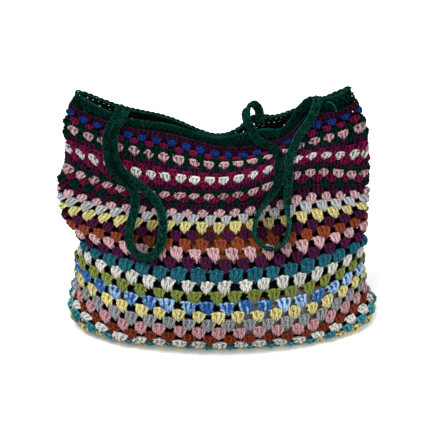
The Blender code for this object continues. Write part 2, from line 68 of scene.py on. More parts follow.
# The wall's counts, levels and thickness, as in the solids
CLUSTERS = 40
ROUNDS = 35
TIGHT_ROUNDS = 16
RIM_TOP = -2.0
JOIN = 0.5
UNDERSIDE = 35.5
WALL = 5.5
# The bag inside in mm: half its width, half its depth, and its corners' height
HALF_WIDTH = 200.0
HALF_DEPTH = 100.0
CORNER_HEIGHT = 315.0

# Inner sections down the wall: level, reach left and right by HALF_WIDTH,
# height at the middle and at the two ends by CORNER_HEIGHT, half depth by
# HALF_DEPTH, fullness left and right (1 is a lens, 2 an ellipse), and the ends'
# positions. Lower levels are counted up from the underside
REST = WALL / CORNER_HEIGHT
SECTIONS = (
    (RIM_TOP, 0.805, 0.785, 0.803, 0.997, 1.000, 0.085, 2.5, 1.3, 10.0, 30.0),
    (5.0, 0.885, 0.890, 0.713, 0.851, 0.848, 0.240, 1.5, 1.2, 9.9, 29.9),
    (11.0, 0.890, 0.920, 0.644, 0.721, 0.679, 0.400, 1.3, 1.3, 9.1, 31.0),
    (UNDERSIDE - 18.5, 0.958, 0.930, 0.546, 0.575, 0.565, 0.420, 1.2, 1.2, 9.7, 30.5),
    (UNDERSIDE - 15.5, 0.935, 0.940, 0.454, 0.460, 0.476, 0.500, 1.2, 1.2, 11.0, 29.6),
    (UNDERSIDE - 11.5, 0.833, 0.935, 0.327, 0.333, 0.346, 0.770, 1.4, 1.3, 11.5, 29.1),
    (UNDERSIDE - 9.5, 0.870, 0.932, 0.250, 0.271, 0.274, 0.890, 1.6, 1.4, 11.1, 29.2),
    (UNDERSIDE - 7.5, 0.875, 0.945, 0.183, 0.213, 0.206, 0.990, 1.9, 1.5, 10.7, 29.3),
    (UNDERSIDE - 4.5, 0.880, 0.970, 0.084, 0.120, 0.102, 1.020, 2.6, 1.8, 10.5, 29.4),
    (UNDERSIDE - 2.5, 0.920, 1.020, 0.035, 0.089, 0.057, 0.910, 3.6, 2.4, 10.5, 29.4),
    (UNDERSIDE - 1.7, 0.915, 1.015, 0.020, 0.057, 0.038, 0.840, 3.8, 2.8, 10.5, 29.4),
    (UNDERSIDE, 0.875, 0.970, REST, REST, REST, 0.680, 3.4, 2.6, 10.5, 29.4),
)
# The wall rises from its middle to its ends by this power of the reach
END_RISE_POWER = 1.4
# Folds: place from -1 at the left end to 1 at the right, level, half sizes of
# both, lift in mm, and -1 for the front, 1 for the back or 0 for both. The last
# two lower the left of the rim, so that the mouth shows there
FOLDS = (
    (-0.6, 12.5, 0.3, 4.5, -6, 0),
    (0.6, 12, 0.3, 5.5, 24, 0),
    (0.25, 2, 0.22, 3, -9, 0),
    (0.62, -1, 0.12, 4, 10, -1),
    (-0.35, -1, 0.25, 5, 8, 0),
    (0.62, 29, 0.25, 4, -10, 0),
    (-0.65, 31, 0.22, 4, -8, 0),
    (0.54, -2, 0.12, 4, -16, -1),
    (0.7, -2, 0.12, 3.5, 12, -1),
    (0.31, -2, 0.11, 4, 13, 1),
    (-0.85, -2, 0.4, 3, -4, 0),
    (-0.68, -2, 0.36, 2, -4.5, -1),
)
# Rounds above the underside in which the folds die out, and how soon past an
# end those of one side have their full share
SETTLE_ROUNDS = 2.5
END_SHARE = 3
# The mouth's pinch in the middle: how much, how wide and how far down
PINCH = 0.9
PINCH_HALF_WIDTH = 0.38
PINCH_ROUNDS = 4.0
SECTION_STATIONS = 181

# The yarn of each round, from the band down
ROUND_YARNS = (
    "aubergine", "royal_blue", "magenta", "dark_green", "pale_pink",
    "dark_green", "aubergine", "magenta", "cream", "magenta",
    "aubergine", "dark_green", "pale_pink", "magenta", "dark_green",
    "aubergine", "pale_pink", "pearl_grey", "pale_yellow", "aubergine",
    "rust_orange", "pale_pink", "aubergine", "teal", "cream",
    "olive", "sky_blue", "pale_yellow", "mid_grey", "dusty_pink",
    "rust_brown", "cream", "turquoise", "pale_yellow", "lilac",
)

# Yarns: the colour, and the second one of a variegated yarn
YARNS = {
    "dark_green": ((0.0045, 0.046, 0.033),),
    "aubergine": ((0.08, 0.014, 0.054),),
    "royal_blue": ((0.01, 0.052, 0.29),),
    "magenta": ((0.255, 0.012, 0.073),),
    "pale_pink": ((0.9, 0.55, 0.58),),
    "cream": ((0.9, 0.89, 0.83),),
    "pearl_grey": ((0.66, 0.69, 0.7),),
    "pale_yellow": ((0.95, 0.84, 0.35),),
    "rust_orange": ((0.37, 0.085, 0.036),),
    "teal": ((0.025, 0.155, 0.215),),
    "olive": ((0.275, 0.33, 0.08),),
    "sky_blue": ((0.042, 0.185, 0.56), (0.46, 0.68, 0.92)),
    "mid_grey": ((0.4, 0.41, 0.43),),
    "dusty_pink": ((0.72, 0.39, 0.42),),
    "rust_brown": ((0.24, 0.045, 0.02),),
    "turquoise": ((0.03, 0.28, 0.36), (0.11, 0.4, 0.45)),
    "lilac": ((0.33, 0.26, 0.5),),
}


def cubic(x, xs, ys, tangents):
    """A curve through the given points with the given slopes there."""
    i = np.clip(np.searchsorted(xs, x, side="right") - 1, 0, len(xs) - 2)
    h = xs[i + 1] - xs[i]
    w = (x - xs[i]) / h
    return (
        (1 + 2 * w) * (1 - w) ** 2 * ys[i]
        + w * (1 - w) ** 2 * h * tangents[i]
        + w * w * (3 - 2 * w) * ys[i + 1]
        + w * w * (w - 1) * h * tangents[i + 1]
    )


def smooth(x, xs, ys):
    """A curve through the given points that never overshoots them."""
    xs, ys = np.asarray(xs, float), np.asarray(ys, float)
    steps = np.diff(xs)
    slopes = np.diff(ys) / steps
    tangents = np.zeros(len(xs))
    tangents[0], tangents[-1] = slopes[0], slopes[-1]
    for i in range(1, len(xs) - 1):
        before, after = slopes[i - 1], slopes[i]
        if before * after > 0:
            a = 2 * steps[i] + steps[i - 1]
            b = steps[i] + 2 * steps[i - 1]
            tangents[i] = (a + b) / (a / before + b / after)
    return cubic(np.clip(np.asarray(x, float), xs[0], xs[-1]), xs, ys, tangents)


LEVELS = [row[0] for row in SECTIONS]
SECTION_UNITS = [HALF_WIDTH] * 2 + [CORNER_HEIGHT] * 3 + [HALF_DEPTH] + [1] * 4


def section(level):
    """The inner section's own sizes at a level, in SECTIONS' order, in mm."""
    return [
        scale * float(smooth(level, LEVELS, [row[i] for row in SECTIONS]))
        for i, scale in enumerate(SECTION_UNITS, 1)
    ]


def surface(positions, level):
    """Points of the wall's inner face at one level, in mm."""
    left, right, mid, low_left, low_right, depth, *full, start, end = section(level)
    angle = np.linspace(0, pi, SECTION_STATIONS)
    s = -np.cos(angle)
    x = s * np.where(s < 0, left, right)
    lens = np.sin(angle) ** (2 / np.where(s < 0, *full))
    pinch = PINCH * np.exp(
        -((s / PINCH_HALF_WIDTH) ** 2) - ((level - RIM_TOP) / PINCH_ROUNDS) ** 2
    )
    y = depth * lens * (1 - pinch)
    length = np.concatenate([[0], np.cumsum(np.hypot(np.diff(x), np.diff(y)))])
    past = np.mod(np.asarray(positions, float) - start, CLUSTERS)
    across = end - start
    front = past <= across
    along = np.where(front, past / across, (CLUSTERS - past) / (CLUSTERS - across))
    at = np.interp(along * length[-1], length, angle)
    s_at = -np.cos(at)
    x_at = np.interp(at, angle, x)
    y_at = np.interp(at, angle, y) * np.where(front, -1, 1)
    rise = np.where(s_at < 0, low_left - mid, low_right - mid)
    z_at = mid + rise * np.abs(s_at) ** END_RISE_POWER
    settle = np.clip((UNDERSIDE - level) / SETTLE_ROUNDS, 0, 1)
    back = np.where(front, -1, 1) * np.minimum(END_SHARE * np.sin(at), 1)
    for place_at, fold_level, half, rounds, lift, side in FOLDS:
        share = (1 + side * back) / 2 if side else 1
        z_at = z_at + settle * share * lift * np.exp(
            -(((s_at - place_at) / half) ** 2) - ((level - fold_level) / rounds) ** 2
        )
    return np.stack([x_at, y_at, z_at], axis=-1)


# The wall as a fine grid, so that points are placed fast
GRID_STEPS = 10
GRID_LEVELS = np.arange(RIM_TOP, UNDERSIDE + 1e-6, 1 / GRID_STEPS)
GRID_POSITIONS = np.arange(CLUSTERS * GRID_STEPS) / GRID_STEPS
GRID = np.stack([surface(GRID_POSITIONS, level) for level in GRID_LEVELS])


# Grid steps over which normals are evened out, and rounds over which the slope
# past an end is read
NORMAL_REACH = 5
SLOPE_ROUNDS = 0.5


def unit(v):
    return v / np.maximum(np.linalg.norm(v, axis=-1, keepdims=True), 1e-9)


def grid_normals():
    """The way the wall faces at each point of the grid, evened out."""
    along = np.roll(GRID, -1, axis=1) - np.roll(GRID, 1, axis=1)
    down = np.gradient(GRID, axis=0)
    normals = unit(np.cross(down, along))
    turns = range(-NORMAL_REACH, NORMAL_REACH + 1)
    return unit(sum(np.roll(normals, turn, axis=1) for turn in turns))


NORMALS = grid_normals()


def sample(table, positions, levels):
    """Values of a table like GRID between its points."""
    p = np.mod(positions, CLUSTERS) * GRID_STEPS
    q = np.clip((levels - RIM_TOP) * GRID_STEPS, 0, len(GRID_LEVELS) - 1.000001)
    i, j = np.floor(p).astype(int), np.floor(q).astype(int)
    u, v = (p - i)[..., None], (q - j)[..., None]
    width = CLUSTERS * GRID_STEPS
    i, k = i % width, (i + 1) % width
    return (
        table[j, i] * (1 - u) * (1 - v)
        + table[j, k] * u * (1 - v)
        + table[j + 1, i] * (1 - u) * v
        + table[j + 1, k] * u * v
    )


def place(positions, levels, lifts):
    """Places on the bag. Past its ends, the wall goes on straight."""
    positions, levels, lifts = np.broadcast_arrays(positions, levels, lifts)
    over = np.minimum(levels - RIM_TOP, 0) + np.maximum(levels - UNDERSIDE, 0)
    inside = np.clip(levels, RIM_TOP, UNDERSIDE)
    at = sample(GRID, positions, inside)
    before = np.clip(inside - np.sign(over) * SLOPE_ROUNDS, RIM_TOP, UNDERSIDE)
    slope = (at - sample(GRID, positions, before)) / SLOPE_ROUNDS
    normal = unit(sample(NORMALS, positions, inside))
    return at + slope * np.abs(over)[..., None] + normal * lifts[..., None]


def add_object(name, data):
    obj = bpy.data.objects.new(name, data)
    bpy.context.scene.collection.objects.link(obj)
    return obj


# How much darker a strand is on its flanks, in open and in tight work, and how
# far it turns outwards where it is not
FLANK_SHADE = 0.95
TIGHT_FLANK = 1.3
FULL_LIGHT_FACING = 0.75
# The least light on a strand, the lift in mm at which tight work has its full
# light, and how much is lost at the bottom
LEAST_LIGHT = 0.05
FULL_LIGHT_LIFT = 4.0
DEPTH_SHADE = 1.0
# A four-sided strand is this much wider, to look as thick as a round one
FOUR_SIDES_WIDER = 1.06
# The yarn's pattern starts anywhere in this length, in mm
YARN_START = 60
# A strand steeper than this takes its frame from the Y axis, not from Z
STEEP = 0.8


class Strands:
    """Gathers yarn strands as tubes, with the yarn's own coordinates."""

    def __init__(self, sides=4, flank=FLANK_SHADE):
        self.sides = sides
        self.flank = flank
        self.points, self.faces, self.uvs, self.tints, self.shades = [], [], [], [], []
        self.count = 0

    def add(self, lines, radii, tints, outward=None, light=1.0):
        """Add strands of equal count of stations: (strand, station, xyz) in mm.

        Outward is the way the piece faces there: a strand gets less light on its
        flanks and its back. Light is what reaches each station.
        """
        lines = np.asarray(lines, float)
        many, stations, _ = lines.shape
        sides = self.sides
        wider = FOUR_SIDES_WIDER if sides == 4 else 1.0
        radii = np.broadcast_to(radii, (many, stations)) * wider
        tangent = unit(np.gradient(lines, axis=1))
        chord = unit(lines[:, -1] - lines[:, 0] + 1e-6)
        helper = np.where(np.abs(chord[:, 2:3]) < STEEP, [[0, 0, 1.0]], [[0, 1.0, 0]])
        first = unit(np.cross(helper[:, None, :], tangent))
        second = np.cross(tangent, first)
        turn = 2 * pi * np.arange(sides)[:, None] / sides
        ways = np.cos(turn) * first[:, :, None] + np.sin(turn) * second[:, :, None]
        rings = lines[:, :, None] + radii[..., None, None] * ways
        if outward is None:
            facing = np.ones(rings.shape[:3])
        else:
            outward = np.broadcast_to(outward, lines.shape)[:, :, None]
            facing = np.sum(ways * outward, axis=-1)
        turned = 1 - self.flank * np.clip(FULL_LIGHT_FACING - facing, 0, 1)
        reached = turned * np.broadcast_to(light, (many, stations))[..., None]
        self.shades.append(np.maximum(reached, LEAST_LIGHT).ravel())
        step = np.linalg.norm(np.diff(lines, axis=1), axis=-1)
        along = np.concatenate([np.zeros((many, 1)), np.cumsum(step, axis=1)], axis=1)
        index = self.count + np.arange(many * stations * sides).reshape(rings.shape[:3])
        beside = np.roll(index, -1, axis=2)
        a, b, c, d = index[:, :-1], beside[:, :-1], beside[:, 1:], index[:, 1:]
        self.faces.append(np.stack([a, b, c, d], axis=-1).reshape(-1, 4))
        start = along + RNG.uniform(0, YARN_START, (many, 1))
        u0 = np.broadcast_to(start[:, :-1, None], a.shape)
        u1 = np.broadcast_to(start[:, 1:, None], a.shape)
        v0 = np.broadcast_to(np.arange(sides) / sides, a.shape)
        v1 = v0 + 1 / sides
        uv = np.stack([u0, v0, u0, v1, u1, v1, u1, v0], axis=-1)
        self.uvs.append(uv.reshape(-1, 2))
        tints = np.broadcast_to(np.asarray(tints, float), (many,))
        self.tints.append(np.repeat(tints, stations * sides))
        self.points.append(rings.reshape(-1, 3))
        self.count += many * stations * sides

    def build(self, name, material):
        """Make one object of all the strands."""
        points = np.concatenate(self.points) * MM
        faces = np.concatenate(self.faces)
        mesh = bpy.data.meshes.new(name)
        mesh.vertices.add(len(points))
        mesh.vertices.foreach_set("co", points.astype(np.float32).ravel())
        mesh.loops.add(faces.size)
        mesh.loops.foreach_set("vertex_index", faces.astype(np.int32).ravel())
        mesh.polygons.add(len(faces))
        mesh.polygons.foreach_set("loop_start", np.arange(0, faces.size, 4, dtype=np.int32))
        mesh.polygons.foreach_set("use_smooth", np.ones(len(faces), bool))
        mesh.update(calc_edges=True)
        layer = mesh.uv_layers.new(name="yarn")
        layer.data.foreach_set("uv", np.concatenate(self.uvs).astype(np.float32).ravel())
        for key, values in (("tint", self.tints), ("shade", self.shades)):
            attribute = mesh.attributes.new(key, "FLOAT", "POINT")
            attribute.data.foreach_set("value", np.concatenate(values).astype(np.float32))
        mesh.materials.append(material)
        return add_object(name, mesh)


def node(tree, kind, inputs=(), **settings):
    """A node with its settings. Each input is given a plain value or a socket."""
    made = tree.nodes.new(kind)
    for key, value in settings.items():
        setattr(made, key, value)
    for key, value in dict(inputs).items():
        if isinstance(value, bpy.types.NodeSocket):
            tree.links.new(value, made.inputs[key])
        else:
            made.inputs[key].default_value = value
    return made


def math_node(tree, operation, *values):
    return node(tree, "ShaderNodeMath", enumerate(values), operation=operation).outputs[0]


def noise(tree, scale, **inputs):
    return node(tree, "ShaderNodeTexNoise", dict(inputs, Scale=scale)).outputs["Fac"]


def attribute(tree, name):
    return node(tree, "ShaderNodeAttribute", attribute_name=name).outputs["Fac"]


def map_range(tree, value, source, target):
    names = ("Value", "From Min", "From Max", "To Min", "To Max")
    inputs = zip(names, (value, *source, *target))
    return node(tree, "ShaderNodeMapRange", inputs).outputs["Result"]


def add_bump(tree, shader, height, strength, distance):
    inputs = {"Height": height, "Strength": strength, "Distance": distance}
    normal = node(tree, "ShaderNodeBump", inputs).outputs["Normal"]
    tree.links.new(normal, shader.inputs["Normal"])


def new_material(name, surface):
    """A material with plain settings on its shader; also its tree and shader."""
    material = bpy.data.materials.new(name)
    material.use_nodes = True
    shader = material.node_tree.nodes["Principled BSDF"]
    for key, value in surface.items():
        shader.inputs[key].default_value = value
    return material, material.node_tree, shader


YARN_SURFACE = {
    "Roughness": 0.95, "Specular IOR Level": 0.015, "Sheen Weight": 0.05,
    "Sheen Roughness": 0.6,
}
# Two plies, each turning once round the strand in this many mm
PLIES = 2
PLY_TURN = 5.0
# Loose fibres: noise scale, and their height beside that of the plies
FIBRE_SCALE = 650
FIBRE_HEIGHT = 1.2
FIBRE_RANGE = (0.3, 0.7)
YARN_BUMP = (0.55, 0.0003)
# Uneven dye: noise scale, how much a strand's tint moves it, and where it turns
# from the one colour to the other
DYE_SCALE = 210
DYE_BY_TINT = 1.6
DYE_RANGE = (0.38, 0.62)
# A yarn is dark below this brightness. For pale and for dark yarn: the mean and depth of
# the painted shade between the plies, and the range of the fibres' uneven tone
DARK_YARN = 0.3
PLY_MEAN = 0.96
PLY_SHADE = (0.16, 0.28)
GRAIN = ((0.74, 1.26), (0.30, 1.70))


def yarn_material(name, colour, second=None):
    """Plied wool: twisted plies, loose fibres, uneven dye, soft sheen and painted shade."""
    material, tree, shader = new_material("yarn_" + name, YARN_SURFACE)
    brightest = max(colour)
    dark = brightest < DARK_YARN
    shader.inputs["Sheen Tint"].default_value = (*(c / brightest for c in colour), 1)
    uv = node(tree, "ShaderNodeUVMap", uv_map="yarn").outputs["UV"]
    along, around, _ = node(tree, "ShaderNodeSeparateXYZ", {0: uv}).outputs
    where = node(tree, "ShaderNodeTexCoord").outputs["Object"]
    tint = attribute(tree, "tint")

    turns = math_node(tree, "MULTIPLY", along, 2 * pi / PLY_TURN)
    phase = math_node(tree, "MULTIPLY_ADD", around, 2 * pi * PLIES, turns)
    ply = math_node(tree, "SINE", phase)
    fibres = noise(tree, FIBRE_SCALE, Detail=3, Vector=where)
    height = math_node(tree, "MULTIPLY_ADD", fibres, FIBRE_HEIGHT, ply)
    add_bump(tree, shader, height, *YARN_BUMP)

    share = 0.0
    if second:
        dye = noise(tree, DYE_SCALE, Detail=2, Vector=where)
        shift = math_node(tree, "MULTIPLY_ADD", tint, DYE_BY_TINT, dye)
        share = map_range(tree, shift, DYE_RANGE, (0, 1))
    colours = {"Factor": share, 6: (*colour, 1), 7: (*(second or colour), 1)}
    base = node(tree, "ShaderNodeMix", colours, data_type="RGBA").outputs[2]

    # Painted shade: darker between the plies, then scaled by the fibres' tone, the strand's
    # tint and its shade
    value = math_node(tree, "MULTIPLY_ADD", ply, PLY_SHADE[dark], PLY_MEAN)
    grain = map_range(tree, fibres, FIBRE_RANGE, GRAIN[dark])
    own = math_node(tree, "ADD", tint, 1.0)
    for factor in (grain, own, attribute(tree, "shade")):
        value = math_node(tree, "MULTIPLY", value, factor)
    inputs = {0: base, "Scale": value}
    scaled = node(tree, "ShaderNodeVectorMath", inputs, operation="SCALE")
    tree.links.new(scaled.outputs[0], shader.inputs["Base Color"])
    return material


MATERIALS = {name: yarn_material(name, *colours) for name, colours in YARNS.items()}

# One cluster: three tall stitches worked into one gap. Across is in pitches,
# down is in rounds and out is in mm
OPEN_CLUSTER = dict(
    twist=0.056, head_out=0.6, head_sunk=1.2, head_bow=1.7, head_radius=1.5,
    half_top=0.355, half_foot=0.19, top=-0.62, foot=0.70, crown=-0.07, foot_crown=0.14,
    radius=1.6, lift=2.7, bulge=1.5, head=2.2, dive=4.6, bar_out=-2.2,
)
TEAL_CLUSTER = dict(
    OPEN_CLUSTER, half_top=0.375, half_foot=0.27, top=-0.64, foot=0.72, crown=-0.14,
    radius=1.95, lift=3.4, bulge=2.2,
)
BLUE_CLUSTER = dict(OPEN_CLUSTER, half_top=0.39, half_foot=0.2, foot=0.74, radius=1.8, lift=3.0)
TIGHT_CLUSTER = dict(
    OPEN_CLUSTER, head_out=1.0, head_sunk=0.8, head_bow=1.2, half_top=0.385,
    half_foot=0.235, top=-0.84, foot=0.92, crown=0.02, foot_crown=0.08, radius=1.55,
    bulge=2.1, head=1.3, dive=3.8, bar_out=0.9,
)
SMALL_CLUSTER = dict(
    TIGHT_CLUSTER, half_top=0.29, half_foot=0.22, top=-0.52, foot=0.72, crown=-0.14,
    foot_crown=0.2, lift=2.6,
)
OWN_CLUSTERS = {"teal": TEAL_CLUSTER, "sky_blue": BLUE_CLUSTER}
SMALL_ROUNDS = 3
# Longer or shorter clusters: round and factor
STRETCH = ((23, 1.0), (25, 0.87), (26, 0.87), (28, 1.0), (30, 1.15), (35, 1.15))
# The tight rounds' dark yarns lie in more shade
TIGHT_TINTS = {"dark_green": -0.57, "aubergine": -0.38, "magenta": -0.15, "pale_pink": -0.12}
# How far inside a cluster's edges its outer stitches lie, at their tops and
# feet, and how much lower they lie in mm
TOP_MARGIN = 0.095
FOOT_MARGIN = 0.06
SIDE_DROP = 1.3
# Along a stitch: how it narrows, where its bulge ends, how long its head is and
# where it dives into the gap
POST_PLACES = np.array([0.0, 0.1, 0.3, 0.55, 0.8, 1.0])
POST = (1.15, 1.12, 0.16, 0.72)
# A stitch's two strands: half turns at the start and along it, less for the
# side it is on in radians, and how far out they wind in mm
TWIST = (0.15, 1.3, 0.6, 0.85)


def posts(c):
    """The stitches' own strands, from their heads to the gap they share."""
    t = POST_PLACES
    taper, bulge_end, head_part, dive_start = POST
    start, turns, less, out_by = TWIST
    wide = c["half_top"] - TOP_MARGIN
    narrow = c["half_foot"] - FOOT_MARGIN
    for side in (-1, 0, 1):
        middle = side * (wide + (narrow - wide) * t**taper)
        first = c["top"] - c["crown"] * abs(side)
        last = c["foot"] - c["foot_crown"] * abs(side)
        down = first + (last - first) * t
        out = c["lift"] + c["bulge"] * np.sin(pi * np.minimum(t * bulge_end, 1))
        out -= SIDE_DROP * abs(side) + c["head"] * np.maximum(1 - t / head_part, 0) ** 2
        out -= c["dive"] * np.maximum((t - dive_start) / (1 - dive_start), 0) ** 2
        turn = pi * (start + turns * t) - less * side
        for k in (-1, 1):
            across = middle + k * c["twist"] * np.cos(turn)
            yield np.stack([across, down, out + k * out_by * np.sin(turn)], -1)


# Fillings: places, part of the stitches' spread, and how much deeper and
# flatter they are in mm
FILLING_PLACES = np.linspace(0.1, 0.86, 4)
FILLING = (0.55, 1.2, 0.5)


def fillings(c):
    """The turns of yarn inside the cluster, seen between its stitches."""
    t = FILLING_PLACES
    spread, sunk, flatter = FILLING
    wide = spread * (c["half_top"] - TOP_MARGIN)
    narrow = spread * (c["half_foot"] - FOOT_MARGIN)
    for side in (-1, 1):
        across = side * (wide + (narrow - wide) * t)
        down = c["top"] + (c["foot"] - c["foot_crown"] - c["top"]) * t
        bulge = (c["bulge"] - flatter) * np.sin(pi * t)
        yield np.stack([across, down, c["lift"] - sunk + bulge], -1)


# Heads: margin, half width, how far above the stitch's top and how bowed
HEAD = (0.075, 0.105, 0.05, 0.12)


def heads(c):
    """A short loop over the head of each stitch."""
    margin, half, above, arch = HEAD
    s = np.linspace(-1, 1, 5)
    for side in (-1, 0, 1):
        across = side * (c["half_top"] - margin) + half * s
        down = c["top"] - c["crown"] * abs(side) - above + arch * s * s
        out = c["lift"] + c["head_out"] - c["head_sunk"] * abs(side) - c["head_bow"] * s * s
        yield np.stack([across, down, out], -1)


# Yarn-overs: margin, part of the spread, half width, part of the length where
# they lie and of their slope, part of the bulge, and lift and bow in mm
YARN_OVER = (0.10, 0.93, 0.075, 0.30, 0.10, 0.75, 1.2, 1.4)


def yarn_overs(c):
    """The yarn-over that crosses each stitch below its head."""
    margin, spread, half, height, slope, bulge, lift, bow = YARN_OVER
    s = np.linspace(-1, 1, 4)
    reach = c["foot"] - c["top"]
    for side in (-1, 0, 1):
        across = side * (c["half_top"] - margin) * spread + half * s
        down = c["top"] - c["crown"] * abs(side) + reach * (height - slope * s)
        out = c["lift"] + c["bulge"] * bulge + lift - SIDE_DROP * abs(side) - bow * s * s
        yield np.stack([across, down, out], -1)


# The bar's part of the cluster's width, how far down it lies and its bow in mm
BACK_BAR = (0.95, 0.02, 0.6)


def back_bar(c):
    """The strand that joins the heads: behind them, or over them in tight work."""
    s = np.linspace(-1, 1, 5)
    spread, below, bow = BACK_BAR
    across = c["half_top"] * spread * s
    down = c["top"] - c["crown"] * np.abs(s) + below
    out = c["lift"] + c["bar_out"] - bow * s * s
    yield np.stack([across, down, out], -1)


# Shade under the straps' loops: position, level, half sizes and how much
STRAP_SHADES = (
    (16.35, 20.6, 0.95, 2.8, 0.6),
    (23.5, 20.0, 1.0, 2.2, 0.45),
)
# The strands' least height above the table, in mm
TABLE_GAP = 0.1


def on_wall(strands, u, v, w, radius, tints, depth_shade=0.0):
    """Add strands by their places on the wall, kept clear of the table."""
    u, v, w = np.broadcast_arrays(u, v, w)
    lines = place(u, v, w)
    lines[..., 2] = np.maximum(lines[..., 2], FOUR_SIDES_WIDER * np.max(radius) + TABLE_GAP)
    outward = unit(sample(NORMALS, u, np.clip(v, RIM_TOP, UNDERSIDE)))
    light = 1 - depth_shade * np.clip(1 - w / FULL_LIGHT_LIFT, 0, 1)
    for position, level, half, rounds, depth in STRAP_SHADES:
        away = ((u - position) / half) ** 2 + ((v - level) / rounds) ** 2
        light = light * (1 - depth * np.exp(-(away**2)))
    strands.add(lines, radius, tints, outward, light)


# Strands of a cluster: thickness by its radius, and tint in open and tight work. The
# fillings' and the back bar's darker tints are painted shade inside the cluster and
# behind its heads; the heads' lighter tint is a painted highlight on its lit top
FILLING_SIZE_AND_SHADE = (1.1, -0.45, -0.5)
HEAD_HIGHLIGHT = 0.06
OVER_STYLE = (0.62, 0.06)
BAR_SIZE_AND_SHADE = (0.95, -0.3, 0.0)
# How much clusters differ in turn, size, place and tint, their strands in place,
# and the share of a second colour
TURN_SPREAD = 0.06
SIZE_SPREAD = 0.05
PLACE_SPREADS = (0.035, 0.04, 0.3)
TINT_SPREAD = 0.05
STRAND_SPREADS = (0.014, 0.022, 0.2)
SECOND_SPREAD = 0.12
# A round's height beside a cluster's width
ROUND_BY_PITCH = 0.5


def round_of_clusters(number):
    """All the clusters of one round, as one piece."""
    yarn = ROUND_YARNS[number - 1]
    centres = np.arange(CLUSTERS) + (0.5 if number % 2 else 0.0)
    cluster = OWN_CLUSTERS.get(yarn, OPEN_CLUSTER)
    tight = number <= TIGHT_ROUNDS
    if tight:
        cluster = SMALL_CLUSTER if number <= SMALL_ROUNDS else TIGHT_CLUSTER
    radius = cluster["radius"]
    strands = Strands(flank=TIGHT_FLANK if tight else FLANK_SHADE)
    groups = (
        (posts(cluster), radius, 0.0),
        (fillings(cluster), radius * FILLING_SIZE_AND_SHADE[0], FILLING_SIZE_AND_SHADE[1 + tight]),
        (heads(cluster), cluster["head_radius"], HEAD_HIGHLIGHT),
        (yarn_overs(cluster), radius * OVER_STYLE[0], OVER_STYLE[1]),
        (back_bar(cluster), radius * BAR_SIZE_AND_SHADE[0], BAR_SIZE_AND_SHADE[1 + tight]),
    )
    turn = vary(TURN_SPREAD, CLUSTERS)
    size = RNG.normal(1, SIZE_SPREAD, CLUSTERS)
    shifts = [vary(spread, CLUSTERS) for spread in PLACE_SPREADS]
    # A cluster's tint: random tone, with painted shade added in the tight rounds
    own = RNG.normal(TIGHT_TINTS.get(yarn, 0) if tight else 0, TINT_SPREAD, CLUSTERS)
    if len(YARNS[yarn]) > 1:
        own = own + RNG.uniform(-SECOND_SPREAD, SECOND_SPREAD, CLUSTERS)
    stretch = np.interp(number, *zip(*STRETCH))
    for shapes, thick, tint in groups:
        for shape in shapes:
            jitter = vary(1, CLUSTERS, 3) * STRAND_SPREADS
            du, dv, dw = ((shift + jitter[:, i])[:, None] for i, shift in enumerate(shifts))
            u = shape[None, :, 0] * size[:, None]
            v = shape[None, :, 1] * size[:, None] * stretch
            across = centres[:, None] + u - v * turn[:, None] * ROUND_BY_PITCH + du
            down = number + v + u * turn[:, None] + dv
            tints = own + tint + vary(TINT_SPREAD, CLUSTERS)
            shade = DEPTH_SHADE if tight else 0.0
            on_wall(strands, across, down, shape[None, :, 2] + dw, thick, tints, shade)
    return strands.build(f"round_{number:02d}", MATERIALS[yarn])


# The first round's stitches: how many to a cluster, their start and length in
# rounds, lift at the top, its fall and its bulge in mm, and radius and tint, darker
# as painted shade
POST_COUNT = 3
FIRST_POST = (-0.75, 1.75, 4.6, 2.6, 1.0, 1.15, -0.58)
FIRST_TWIST = 0.07
# Its cross strands: half width, place, step down and bow in rounds, lift, step
# in and bow in mm, and radius and tint, darker as painted shade
FIRST_BAR = (0.19, -0.70, 0.75, 0.08, 5.0, 1.3, 0.5, 0.95, -0.45)
FIRST_SPREAD = 0.15
# The rings of yarn behind them: places in rounds, lift, radius and tint, near
# black as painted shade
FIRST_RINGS = (-0.3, 0.05, 0.4)
FIRST_RING = (0.9, 1.5, -0.7)


def post_round(number):
    """The first round: single tall stitches side by side, all the way."""
    strands = Strands(flank=TIGHT_FLANK)
    count = CLUSTERS * POST_COUNT
    centres = np.arange(count)[:, None] / POST_COUNT
    t = np.linspace(0, 1, 6)
    top, length, lift, fall, bulge, radius, tint = FIRST_POST
    for k in (-1, 1):
        u = centres + k * FIRST_TWIST * np.cos(pi * t) + vary(0.01, count, 1)
        v = number + top + length * t + vary(0.02, count, 1)
        w = lift - fall * t + bulge * np.sin(pi * t) + vary(0.12, count, 1)
        on_wall(strands, u, v, w, radius, RNG.normal(tint, FIRST_SPREAD, count))
    s = np.linspace(-1, 1, 5)
    half, down, step, bow, lift, fall, out_bow, radius, tint = FIRST_BAR
    for k in (0, 1):
        v = number + down + step * k + bow * s * s
        w = lift - fall * k - out_bow * s * s
        tints = RNG.normal(tint, FIRST_SPREAD, count)
        on_wall(strands, centres + s * half, v, w, radius, tints)
    ring = np.linspace(0, CLUSTERS, 401)
    lift, radius, tint = FIRST_RING
    for down in FIRST_RINGS:
        on_wall(strands, ring[None], number + down, lift, radius, [tint])
    return strands.build(f"round_{number:02d}", MATERIALS[ROUND_YARNS[number - 1]])


crochet = [post_round(1)]
crochet += [round_of_clusters(number) for number in range(2, ROUNDS + 1)]
for piece in crochet:
    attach(piece, "root")
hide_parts("bag_body")

# The base: rounds of clusters laid flat, each a step inside the last. Its half
# sizes, middle and step in mm, the ovals' fullness, a cluster's pitch in mm, and
# the fewest in a round
BASE_HALF = (183.0, 67.0)
BASE_MIDDLE = 9.5
BASE_STEP = 12.5
BASE_FULLNESS = 3.0
BASE_PITCH = 17.0
BASE_FEWEST = 8
